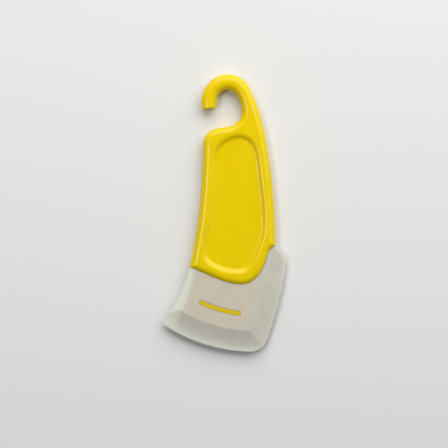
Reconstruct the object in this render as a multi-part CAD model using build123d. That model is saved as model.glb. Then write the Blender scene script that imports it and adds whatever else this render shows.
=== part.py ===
from build123d import *
import os
from math import atan2, degrees, sqrt

# A pan scraper that lies flat on its back. X runs across the head, Y along the handle to the hook and Z up.
# It is one plastic handle, whose thin tongue reaches into a silicone head that is moulded round it.
# Lengths are in millimetres and angles in degrees. Outlines are drawn from a datum at the left shoulder, the
# corner on the left edge where handle and head meet. A knot of an outline is a place and the heading of the
# edge there, measured from the X axis, and pairs of tangent arcs join the knots.

# Handle
handle_thickness = 8.6
edge_land = 0.3  # flat that is left between the two rounded edges, where the halves of the mould meet
grip_width = 51.7  # from the left shoulder to the right one
grip_height = 84.9  # from the datum to the bottom of the throat below the hook
right_shoulder_rise = 13.3
left_side_heading = -103
throat_share = 0.445

# Hook, whose centre stands above the middle of the throat
hook_rise = 16.0
hook_radius = 15.5
rod_width = 9.5
neck_inset = 5.1  # inner side of the neck, from the hook's outer side above it
tip_taper = 0.7
tip_drop = 5.9  # outer corner of the hook's tip below the hook centre
tip_rise = 1.2  # inner corner of the tip above the outer one
tip_cut_length = 1.5  # what is cut off the tip to leave its flat end
tip_round = 0.7

# Lower end of the grip, which rounds down onto the head
grip_end_drop = 10.4
grip_end_inset = 3.4
left_end_heading = -22
shoulder_heading = 38
shoulder_run = 1.2  # straight stretch of each edge that meets at a shoulder

# Recessed panel in both faces of the grip
panel_depth = 1.5
panel_wall_angle = 34
crest_round = 3.6
floor_round = 2.2
side_rim = 5.65  # from the grip's edge to the crest of the panel's wall
top_rim = 4.8
end_rim = 7.6
corner_rim = 6.7
top_corner_rim = 9.4

# Silicone head
head_left_reach = 15.9  # lower left corner to the left of the datum
ear_reach = 5.9  # furthest right point of the head to the right of the right shoulder
head_left_drop = 33.6
head_drop = 50.25  # right end of the lip below the datum
head_thickness = 5.6
lip_radius = 99.3
lip_width = 13.0
lip_edge_thickness = 1.4
lip_edge_round = 0.5
lip_crest_angle = 15
side_radius = 190.0
side_width = 12.0
side_edge_thickness = 1.8
side_edge_round = 0.6
side_crest_angle = 5
flare_angle = 0.5  # slope at the outer end of both
nose_angle = 60  # slope at which the rounded edge of both meets their outer wall
nose_overlap = 0.1
ear_drop = 9.4  # furthest right point of the head below the right shoulder
roll_radius = 95.0
roll_width = 5.6  # at the lower left corner
roll_width_at_shoulder = 2.6
roll_drop = 1.6
roll_crest_angle = 3
roll_edge_angle = 29
roll_end_heading = -31
slope_overlap = 0.6  # how far a sloping face is drawn past its crest
join_overlap = 6.0  # how far the head's outline is drawn into the handle

# Tongue inside the head, with the bar that shows through both faces
tongue_thickness = 2.6
tongue_margin = 2.0  # from the tongue's sides to where the head gets thinner
tongue_lip_margin = 0.5
tongue_root = 6.0
tongue_corner = 5.0
hole_length = 9.0
hole_width = 5.0
hole_count = 3
hole_spacing = 13.5
holes_above_lip = 31.0
first_hole_offset = -12.04  # along the row, from the middle of the lip
bar_above_lip = 22.8
bar_length = 25.5
bar_width = 2.7
bar_recess = 0.05
bar_end_offset = 15.5  # right end of the bar along its middle line, from the middle of the lip

overrun = 30.0  # how far cutting shapes run past what they cut
near = 0.1  # places closer than this count as one

head_width = head_left_reach + grip_width + ear_reach
tip_width = rod_width - tip_taper
edge_radius = (min(handle_thickness, tip_width) - edge_land) / 2  # what the hook's tip leaves room for
middle_height = handle_thickness / 2
middle_plane = Plane.XY.offset(middle_height)
half_head = head_thickness / 2


def unit(heading):
    return Vector(1, 0).rotate(Axis.Z, heading)


def heading_of(direction):
    return degrees(atan2(direction.Y, direction.X))


def curve(*knots):
    """Tangent arcs through the knots, two between each pair."""
    arcs = []
    for (start, heading), (end, next_heading) in zip(knots, knots[1:]):
        leaving = unit(heading)
        arriving = unit(next_heading)
        chord = end - start
        along = chord.dot(leaving + arriving)
        bend = 2 * (1 - leaving.dot(arriving))
        reach = (sqrt(along**2 + bend * chord.dot(chord)) - along) / bend
        middle = (start + end + (leaving - arriving) * reach) / 2
        first = TangentArc(start, middle, tangent=leaving)
        arcs.append(first)
        arcs.append(TangentArc(middle, end, tangent=first % 1))
    return arcs


def with_mirror_image(cutter):
    return cutter + mirror(cutter, middle_plane)


# Places that handle and head share
datum = Vector(0, 0)
right_shoulder = Vector(grip_width, right_shoulder_rise)

# Head edges, whose arcs also place its sloping faces, the tongue and the bar
heel = Vector(-head_left_reach, -head_left_drop)
ear_tip = right_shoulder + Vector(ear_reach, -ear_drop)


def on_grip(across_share, up_share):
    return Vector(across_share * grip_width, up_share * grip_height)


def on_head(across_share, down_share):
    return Vector(across_share * head_width - head_left_reach, -down_share * head_drop)


lip = RadiusArc(heel, on_head(0.70, 1), -lip_radius)
side = RadiusArc(on_head(0.84, 0.881), ear_tip, -side_radius)
roll_start = datum + Vector(roll_width_at_shoulder, 0)
roll = RadiusArc(roll_start, heel + unit(roll_end_heading) * roll_width, roll_radius)
lip_centre = lip.arc_center
lip_middle_angle = heading_of(lip @ 0.5 - lip_centre)
side_centre = side.arc_center
roll_centre = roll.arc_center


# Edges of the grip, which the panel follows. They run round it anticlockwise: down, to the right, up.
left_side = curve(
    (on_grip(0.159, 0.877), -90),
    (datum - unit(left_side_heading) * shoulder_run, left_side_heading),
)
grip_end = curve(
    (datum + unit(left_end_heading) * shoulder_run, left_end_heading),
    (Vector(0.58 * grip_width, -grip_end_drop), -5),
    (Vector(0.85 * grip_width, -0.2 * grip_end_drop), 60),
    (Vector(grip_width - grip_end_inset, 0.72 * right_shoulder_rise), 73),
    (right_shoulder - unit(shoulder_heading) * shoulder_run, shoulder_heading),
)
right_side = curve(
    (right_shoulder + Vector(0, shoulder_run), 90),
    (on_grip(0.894, 0.901), 100.2),
)


def rounded_slab(rounded_edges, plain_edges):
    """A slab as thick as the handle, fully rounded along its outline apart from the plain edges."""
    slab = extrude(make_face(rounded_edges + plain_edges), handle_thickness)
    levels = slab.edges().group_by(Axis.Z)
    plain_middles = [edge @ 0.5 for edge in plain_edges]
    to_round = []
    for edge in levels[0] + levels[-1]:
        middle = Vector((edge @ 0.5).X, (edge @ 0.5).Y)
        if min((middle - plain_middle).length for plain_middle in plain_middles) > near:
            to_round.append(edge)
    return fillet(to_round, edge_radius)


def hook_and_grip():
    """Hook and grip as one slab, which runs on past both shoulders."""
    centre = on_grip(throat_share, 1) + Vector(0, hook_rise)
    eye_radius = hook_radius - rod_width
    tip_outer = centre - Vector(hook_radius, tip_drop)
    tip_inner = tip_outer + Vector(tip_width, tip_rise)

    def on_hook(across_share, up_share, radius=hook_radius):
        return centre + Vector(across_share, up_share) * radius

    outer_heading = 94
    inner_heading = 87
    outer_knots = [
        (tip_outer, outer_heading),
        (on_hook(-1.016, -0.09), 90),
        (on_hook(0, 1), 0),
        (on_hook(0.877, 0.426), -64.5),
        (right_side[-1] @ 1, -79.8),
    ]
    inner_knots = [
        (tip_inner, inner_heading),
        (on_hook(-1.04, 0.1, eye_radius), 82),
        (on_hook(0, 1, eye_radius), 0),
        (on_hook(0.85, 0.52, eye_radius), -56),
        (on_hook(0.877, -0.374) - Vector(neck_inset, 0), -83),
        (on_grip(throat_share, 1), -174),
        (on_grip(0.28, 0.98), -160),
        (left_side[0] @ 0, -90),
    ]
    outer_start = tip_outer - unit(outer_heading) * tip_cut_length
    inner_start = tip_inner - unit(inner_heading) * tip_cut_length
    right_foot = right_shoulder + unit(-90) * overrun
    left_foot = datum + unit(left_side_heading) * overrun
    rounded_edges = curve(*outer_knots) + right_side + curve(*inner_knots) + left_side
    rounded_edges += [Line(outer_start, tip_outer), Line(inner_start, tip_inner)]
    rounded_edges += [Line(right_side[0] @ 0, right_foot), Line(left_side[-1] @ 1, left_foot)]
    slab = rounded_slab(rounded_edges, [Line(outer_start, inner_start), Line(left_foot, right_foot)])

    along_tip = (tip_inner - tip_outer).normalized()
    below_tip = along_tip.rotate(Axis.Z, -90) * tip_width
    left_of_tip = tip_outer - along_tip * tip_cut_length
    right_of_tip = tip_inner + along_tip * tip_cut_length
    cut = Polyline(left_of_tip, right_of_tip, right_of_tip + below_tip, left_of_tip + below_tip, close=True)
    slab -= extrude(make_face(cut), handle_thickness)
    tip_middle = (tip_outer + tip_inner) / 2 + Vector(0, 0, middle_height)
    tip_face = slab.faces().sort_by_distance(tip_middle)[0]
    return fillet(tip_face.edges(), tip_round)


def grip_end_slab():
    """A slab that covers the whole hook and grip and rounds down along the lower end of the grip."""
    far_left = datum - unit(left_end_heading) * overrun
    far_right = right_shoulder + unit(shoulder_heading) * overrun
    top = grip_height + hook_rise + hook_radius + overrun
    top_left = Vector(far_left.X, top)
    top_right = Vector(far_right.X, top)
    rounded_edges = grip_end + [Line(far_left, grip_end[0] @ 0), Line(grip_end[-1] @ 1, far_right)]
    plain_edges = [Line(far_right, top_right), Line(top_right, top_left), Line(top_left, far_left)]
    return rounded_slab(rounded_edges, plain_edges)


def beside(edge, share, rim, turn=0):
    """A knot beside an edge of the grip, whose heading is turned from the edge's own."""
    heading = heading_of(edge % share)
    return edge @ share + unit(heading + 90) * rim, heading + turn


def panel_cutter():
    """Cuts the panel into the back. Its outline is the crest of the panel's wall."""
    knots = [
        beside(left_side[0], 0.27, side_rim),
        beside(left_side[1], 0.66, side_rim),
        beside(grip_end[0], 0.59, corner_rim, -9.5),
        beside(grip_end[1], 0.95, end_rim, 6),
        beside(grip_end[5], 0.04, corner_rim, -7.5),
        beside(right_side[0], 0.33, side_rim, -3.5),
        beside(right_side[1], 0.63, side_rim, -2),
        beside(right_side[1], 0.95, corner_rim, 18),
        (Vector(0.590 * grip_width, grip_height - top_rim), 180),
        beside(left_side[0], 0, top_corner_rim, -43),
    ]
    return extrude(make_face(curve(*knots, knots[0])), panel_depth, taper=90 - panel_wall_angle)


def tongue():
    """The thin plate inside the head, with oval holes that the silicone fills."""
    outline = Pos(lip_centre) * Circle(lip_radius - lip_width - tongue_lip_margin)
    outline &= Pos(side_centre) * Circle(side_radius - side_width - tongue_margin)
    outline -= Pos(roll_centre) * Circle(roll_radius + tongue_margin)
    top_left = Vector(-head_left_reach, tongue_root)
    top_right = Vector(head_width, tongue_root)
    below = Vector(0, -tongue_root - head_drop)
    outline &= make_face(Polyline(top_left, top_right, top_right + below, top_left + below, close=True))
    outline = fillet(outline.vertices().sort_by(Axis.Y)[:2], tongue_corner)
    row_radius = lip_radius - holes_above_lip
    for number in range(hole_count):
        angle = lip_middle_angle + degrees((first_hole_offset + number * hole_spacing) / row_radius)
        place = Pos(lip_centre + unit(angle) * row_radius)
        outline -= place * Rot(Z=angle + 90) * SlotOverall(hole_length, hole_width)
    return extrude(middle_plane * outline, tongue_thickness / 2, both=True)


def bar_outline():
    """The narrow curved bar on the tongue, which shows in a window through both faces of the head."""
    radius = lip_radius - bar_above_lip
    end_angle = lip_middle_angle + degrees(bar_end_offset / radius)
    turn = -degrees(bar_length / radius)
    inner = CenterArc(lip_centre, radius - bar_width / 2, end_angle, turn)
    outer = CenterArc(lip_centre, radius + bar_width / 2, end_angle, turn)
    return middle_plane * make_face([inner, outer, Line(inner @ 0, outer @ 0), Line(inner @ 1, outer @ 1)])


def crests(body):
    return [edge for face in body.faces() if face.inner_wires() for edge in face.inner_wires()[0].edges()]


def floor_edges(body):
    core_middle = Vector(grip_width / 2, grip_height / 2, middle_height)
    floors = body.faces().filter_by(GeomType.PLANE).sort_by_distance(core_middle)
    return floors[0].edges() + floors[1].edges()


def make_handle(blank):
    body = blank - with_mirror_image(panel_cutter())
    body = fillet(crests(body), crest_round)
    body = fillet(floor_edges(body), floor_round)
    return body + tongue() + extrude(bar_outline(), half_head - bar_recess, both=True)


def face_cutter(crest, outward, *knots):
    """Slopes the top of the head down from a crest. The knots of its profile are measured from the crest."""
    far_side = (crest.arc_center - crest @ 0.5).normalized()
    origin = crest.arc_center + far_side * crest.radius + Vector(0, 0, middle_height + half_head)
    across = far_side * outward
    first, first_heading = knots[0]
    last, last_heading = knots[-1]
    before = first - unit(first_heading) * overrun / 4
    beyond = last + unit(last_heading) * near
    far = Vector(overrun / 4, 0)
    up = Vector(0, overrun)
    around = Polyline(last, beyond, beyond + far, beyond + far + up, before + up, before, first)
    plane = Plane(origin, across, across.cross(Vector(0, 0, 1)))
    profile = plane * make_face(curve(*knots) + around.edges())
    return revolve(profile, Axis(crest.arc_center, (0, 0, 1)))


def edge_cutter(crest, width, edge_thickness, edge_round, crest_angle):
    """A hollow slope that ends in a rounded edge."""
    drop = half_head - edge_thickness / 2
    start = -unit(-crest_angle) * slope_overlap
    nose_start = Vector(width - edge_round, -drop)
    nose_end = Vector(width + nose_overlap, -drop - edge_round)
    return face_cutter(crest, 1, (start, -crest_angle), (nose_start, -flare_angle), (nose_end, -nose_angle))


def roll_cutter():
    start = -unit(-roll_crest_angle) * slope_overlap
    end = Vector(roll_width, -roll_drop)
    return face_cutter(roll, -1, (start, -roll_crest_angle), (end, -roll_edge_angle))


def make_head(blank):
    ear_top = right_shoulder + Vector(0.66 * ear_reach, -0.48 * ear_drop)
    ear_heading = heading_of(right_shoulder - ear_top)
    inside = right_shoulder + unit(ear_heading) * join_overlap
    outline = curve((datum, -106), (on_head(0.114, 0.376), -119), (heel, -121))
    outline += [lip, side]
    outline += curve((lip @ 1, heading_of(lip % 1)), (side @ 0, heading_of(side % 0)))
    outline += curve((ear_tip, heading_of(side % 1)), (ear_top, ear_heading))
    outline += [Line(ear_top, inside), Line(inside, datum)]
    head = extrude(middle_plane * make_face(outline), half_head, both=True)

    lip_crest = CenterArc(lip_centre, lip_radius - lip_width, -120, 60)
    side_crest = CenterArc(side_centre, side_radius - side_width, -20, 30)
    head -= with_mirror_image(
        edge_cutter(lip_crest, lip_width, lip_edge_thickness, lip_edge_round, lip_crest_angle)
    )
    head -= with_mirror_image(
        edge_cutter(side_crest, side_width, side_edge_thickness, side_edge_round, side_crest_angle)
    )
    head -= with_mirror_image(roll_cutter())
    return head - blank - tongue() - extrude(bar_outline(), overrun, both=True)


blank = hook_and_grip() & grip_end_slab()  # the handle before its panel and its tongue
handle = make_handle(blank)
scraper_head = make_head(blank)
box = Compound([handle, scraper_head]).bounding_box()
to_origin = Pos(-box.center().X, -box.center().Y, -box.min.Z)
os.makedirs("parts", exist_ok=True)
export_step(to_origin * handle, "parts/handle.step")
export_step(to_origin * scraper_head, "parts/scraper_head.step")
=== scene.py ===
import bpy
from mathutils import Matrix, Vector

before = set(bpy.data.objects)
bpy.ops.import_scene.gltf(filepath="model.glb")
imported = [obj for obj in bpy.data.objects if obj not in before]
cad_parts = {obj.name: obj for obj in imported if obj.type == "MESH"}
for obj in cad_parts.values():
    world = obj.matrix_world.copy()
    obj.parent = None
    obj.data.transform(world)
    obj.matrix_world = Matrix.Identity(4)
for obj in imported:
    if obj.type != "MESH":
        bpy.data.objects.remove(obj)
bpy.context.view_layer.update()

MM = 0.001

# Centres of the arcs that bound the head, in millimetres: its lip, its tapered side and its rolled left side
LIP_CENTRE = (18.3, 15.8)
SIDE_CENTRE = (-152.2, -8.7)
ROLL_CENTRE = (-112.2, -18.8)

# Edges of the head, and crests where it starts to get thinner. Each is an arc: its centre, its radius in
# millimetres, and 1 where the head lies inside the arc or -1 where it lies outside.
LIP_EDGE = (LIP_CENTRE, 99.3, 1)
LIP_CREST = (LIP_CENTRE, 86.3, 1)
SIDE_EDGE = (SIDE_CENTRE, 190, 1)
SIDE_CREST = (SIDE_CENTRE, 178, 1)
ROLL_CREST = (ROLL_CENTRE, 95, -1)

# The handle's plastic below this height, in millimetres, is the bar that shows in the head
BAR_TOP = -45
BAR_FADE = 1

# Studio and camera, in metres
FLOOR_SIZE = 3
CAMERA_HEIGHT = 1.0
FRAME_WIDTH = 268.8 * MM
FRAME_CENTRE_Y = -6.5 * MM
MIDDLE_HEIGHT = 4.3 * MM
SENSOR_WIDTH_MM = 36

# Sockets of the colour mixing node, by number, because their names repeat
MIX_SHARE = 0
MIX_FIRST = 6
MIX_SECOND = 7
MIX_RESULT = 2


def colour(code):
    """An sRGB hex colour as linear red, green, blue and alpha."""
    shares = [int(code[at:at + 2], 16) / 255 for at in (1, 3, 5)]
    linear = [s / 12.92 if s <= 0.04045 else ((s + 0.055) / 1.055) ** 2.4 for s in shares]
    return (*linear, 1)


def new_material(name):
    material = bpy.data.materials.new(name)
    material.use_nodes = True
    material.node_tree.nodes.clear()
    return material


def add(material, kind, settings=None, links=None, **fields):
    """Adds a node with its own fields, the values of its sockets, and a link to each socket named for one."""
    tree = material.node_tree
    node = tree.nodes.new(kind)
    for field, value in fields.items():
        setattr(node, field, value)
    for socket, value in (settings or {}).items():
        node.inputs[socket].default_value = value
    for socket, source in (links or {}).items():
        tree.links.new(source, node.inputs[socket])
    return node


def finish_with(material, shader):
    add(material, "ShaderNodeOutputMaterial", links={"Surface": shader.outputs[0]})


def mix_colours(material, first, second, share):
    """One colour fading into another as the share goes from 0 to 1. Each is a hex code or a socket."""
    settings = {}
    links = {MIX_SHARE: share}
    for socket, source in ((MIX_FIRST, first), (MIX_SECOND, second)):
        if isinstance(source, str):
            settings[socket] = colour(source)
        else:
            links[socket] = source
    return add(material, "ShaderNodeMix", settings, links, data_type="RGBA").outputs[MIX_RESULT]


def ramp(material, source, low, high, to_low=0.0, to_high=1.0):
    """A soft step between two readings of a node."""
    node = add(material, "ShaderNodeMapRange",
               {"From Min": low, "From Max": high, "To Min": to_low, "To Max": to_high}, {"Value": source},
               interpolation_type="SMOOTHSTEP")
    return node.outputs["Result"]


def patches(material, noise_value, to_low=0.0, to_high=1.0):
    """Noise spread over its useful middle range, so that it goes from one value to the other."""
    return ramp(material, noise_value, 0.3, 0.7, to_low, to_high)


def noise(material, place, wave_mm, detail=2.0, stretch=(1, 1, 1)):
    """Noise whose swells are about this many millimetres apart."""
    turned = add(material, "ShaderNodeMapping", {"Scale": stretch}, {"Vector": place})
    node = add(material, "ShaderNodeTexNoise",
               {"Scale": 1 / (wave_mm * MM), "Detail": detail, "Roughness": 0.5},
               {"Vector": turned.outputs["Vector"]})
    return node.outputs["Fac"]


def softened(material, radius_mm):
    """Creases that look worn round to this radius."""
    return add(material, "ShaderNodeBevel", {"Radius": radius_mm * MM}, samples=6).outputs["Normal"]


def relief(material, height, depth_mm, under):
    """A bump of this depth, on top of another surface."""
    node = add(material, "ShaderNodeBump", {"Strength": 1.0, "Distance": depth_mm * MM},
               {"Height": height, "Normal": under})
    return node.outputs["Normal"]


def within(material, place_in_plan, arc, margin_mm, fade_mm):
    """From 0 to 1 over the fade, whose middle is this far inside an arc that bounds the head."""
    (x, y), radius, side = arc
    centre = (x * MM, y * MM, 0)
    gap = add(material, "ShaderNodeVectorMath", {1: centre}, {0: place_in_plan}, operation="DISTANCE")
    middle = (radius - side * margin_mm) * MM
    reach = side * fade_mm / 2 * MM
    return ramp(material, gap.outputs["Value"], middle + reach, middle - reach)


def within_all(material, place_in_plan, *limits):
    """1 well inside every limit, fading to 0 across each. A limit is an arc, a margin and a fade."""
    share, *others = [within(material, place_in_plan, *limit) for limit in limits]
    for other in others:
        product = add(material, "ShaderNodeMath", links={0: share, 1: other}, operation="MULTIPLY")
        share = product.outputs["Value"]
    return share


def moulded_yellow_plastic():
    """Polypropylene, moulded in a polished mould: an even warm yellow, a clear gloss and a faint ripple."""
    material = new_material("injection_moulded_yellow_polypropylene")
    place = add(material, "ShaderNodeTexCoord").outputs["Object"]
    # The pigment streaks slightly along the way the plastic flowed, from the hook to the head.
    streaks = noise(material, place, wave_mm=9, detail=3, stretch=(1, 0.25, 1))
    tone = mix_colours(material, "#EED100", "#EBCE00", patches(material, streaks))
    # The bar that shows in the head is painted a darker yellow, and the mould's face for it isn't polished,
    # so it is rougher too.
    height = add(material, "ShaderNodeSeparateXYZ", links={"Vector": place}).outputs["Y"]
    on_bar = ramp(material, height, BAR_TOP * MM, (BAR_TOP - BAR_FADE) * MM)
    tone = mix_colours(material, tone, "#DCC004", on_bar)
    # Handling leaves a soft haze in the gloss, in patches about 12 mm apart.
    haze = patches(material, noise(material, place, wave_mm=12), to_low=0.2, to_high=0.24)
    dulled = ramp(material, on_bar, 0, 1, to_low=0, to_high=0.3)
    roughness = add(material, "ShaderNodeMath", links={0: haze, 1: dulled}, operation="ADD").outputs["Value"]
    # Shrinkage leaves a faint ripple, and the mould's last polish a finer grain on it.
    ripple = noise(material, place, wave_mm=3.5, detail=1)
    surface = relief(material, ripple, depth_mm=0.008, under=softened(material, radius_mm=0.8))
    grain = noise(material, place, wave_mm=0.5)
    surface = relief(material, grain, depth_mm=0.0015, under=surface)
    shader = add(material, "ShaderNodeBsdfPrincipled",
                 {"IOR": 1.49, "Specular IOR Level": 0.3, "Subsurface Weight": 0.3,
                  "Subsurface Radius": (1.0, 0.55, 0.05), "Subsurface Scale": 1.5 * MM},
                 {"Base Color": tone, "Roughness": roughness, "Normal": surface})
    finish_with(material, shader)
    return material


def moulded_silicone():
    """Milky silicone rubber, moulded over the tongue in a matt mould: light sinks in and comes back soft."""
    material = new_material("overmoulded_milky_silicone")
    place = add(material, "ShaderNodeTexCoord").outputs["Object"]
    in_plan = add(material, "ShaderNodeVectorMath", {1: (1, 1, 0)}, {0: place}, operation="MULTIPLY")
    place_in_plan = in_plan.outputs["Vector"]
    # Cloudy where the filler isn't quite even, in swells about 7 mm apart.
    cloud = patches(material, noise(material, place, wave_mm=7, detail=3))
    clear = mix_colours(material, "#D1CFC2", "#CBC9BC", cloud)
    # The tongue inside shines through as a warmer tint.
    warm = mix_colours(material, "#D6CEBC", "#D1C9B6", cloud)
    over_tongue = within_all(material, place_in_plan,
                             (LIP_CREST, 0, 2.5), (SIDE_CREST, 3, 6), (ROLL_CREST, 1.5, 4))
    tone = mix_colours(material, clear, warm, over_tongue)
    # Towards the left edge, the lip and the tapered side it is thinner, and there it is painted paler: a
    # painted glow of light shining through the thin rubber.
    away_from_painted_edge_glow = within_all(material, place_in_plan,
                                (LIP_EDGE, 2.5, 7), (SIDE_EDGE, 0.5, 2.5), (ROLL_CREST, 1, 4))
    tone = mix_colours(material, "#DDDFD1", tone, away_from_painted_edge_glow)
    # Its sheen isn't quite even, its surface swells slightly, and the matt mould leaves a fine grain.
    sheen = noise(material, place, wave_mm=5, detail=4)
    roughness = patches(material, sheen, to_low=0.42, to_high=0.52)
    swell = noise(material, place, wave_mm=6, detail=1)
    surface = relief(material, swell, depth_mm=0.02, under=softened(material, radius_mm=0.8))
    grain = noise(material, place, wave_mm=0.35)
    surface = relief(material, grain, depth_mm=0.004, under=surface)
    shader = add(material, "ShaderNodeBsdfPrincipled",
                 {"IOR": 1.41, "Subsurface Weight": 0.75, "Subsurface Radius": (1.0, 0.95, 0.85),
                  "Subsurface Scale": 2.5 * MM},
                 {"Base Color": tone, "Roughness": roughness, "Normal": surface})
    finish_with(material, shader)
    return material


def pale_floor_paint():
    """A plain matt floor, so that nothing but the scraper draws the eye."""
    material = new_material("pale_matt_floor")
    shader = add(material, "ShaderNodeBsdfPrincipled", {"Base Color": colour("#E6E6E4"), "Roughness": 0.8})
    finish_with(material, shader)
    return material


def softbox(name, place, width, height, power):
    """A lamp that looks at the scraper. Its place and size are in metres and its power is in watts."""
    light = bpy.data.lights.new(name, "AREA")
    light.shape = "RECTANGLE"
    light.size = width
    light.size_y = height
    light.energy = power
    lamp = bpy.data.objects.new(name, light)
    bpy.context.scene.collection.objects.link(lamp)
    lamp.location = place
    to_scraper = -Vector(place)
    lamp.rotation_euler = to_scraper.to_track_quat("-Z", "Y").to_euler()


# Scraper
for node_name, make_material in (("handle", moulded_yellow_plastic), ("scraper_head", moulded_silicone)):
    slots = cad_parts[node_name].material_slots
    slots[0].material = make_material()

# Floor
bpy.ops.mesh.primitive_plane_add(size=FLOOR_SIZE)
floor = bpy.context.object
floor.name = "floor"
floor.data.materials.append(pale_floor_paint())

# Light, brightest from beyond the hook and a little to the right
world = bpy.data.worlds.new("studio")
world.use_nodes = True
world.node_tree.nodes["Background"].inputs["Color"].default_value = (1, 1, 1, 1)
world.node_tree.nodes["Background"].inputs["Strength"].default_value = 0.07
bpy.context.scene.world = world
softbox("top_softbox", place=(0.26, 0.81, 0.75), width=2.0, height=1.2, power=21.5)
softbox("left_softbox", place=(-0.45, 0.04, 0.9), width=0.22, height=0.22, power=1.8)
softbox("right_fill", place=(1.0, -0.2, 0.5), width=1.0, height=1.4, power=1.2)
softbox("left_fill", place=(-1.0, -0.3, 0.5), width=1.0, height=1.4, power=0.8)

# Camera, straight above at the photograph's framing
camera_data = bpy.data.cameras.new("camera")
camera_data.sensor_width = SENSOR_WIDTH_MM
camera_data.lens = SENSOR_WIDTH_MM * CAMERA_HEIGHT / FRAME_WIDTH
camera = bpy.data.objects.new("camera", camera_data)
bpy.context.scene.collection.objects.link(camera)
camera.location = (0, FRAME_CENTRE_Y, CAMERA_HEIGHT + MIDDLE_HEIGHT)
bpy.context.scene.camera = camera

bpy.context.scene.view_settings.view_transform = "Standard"
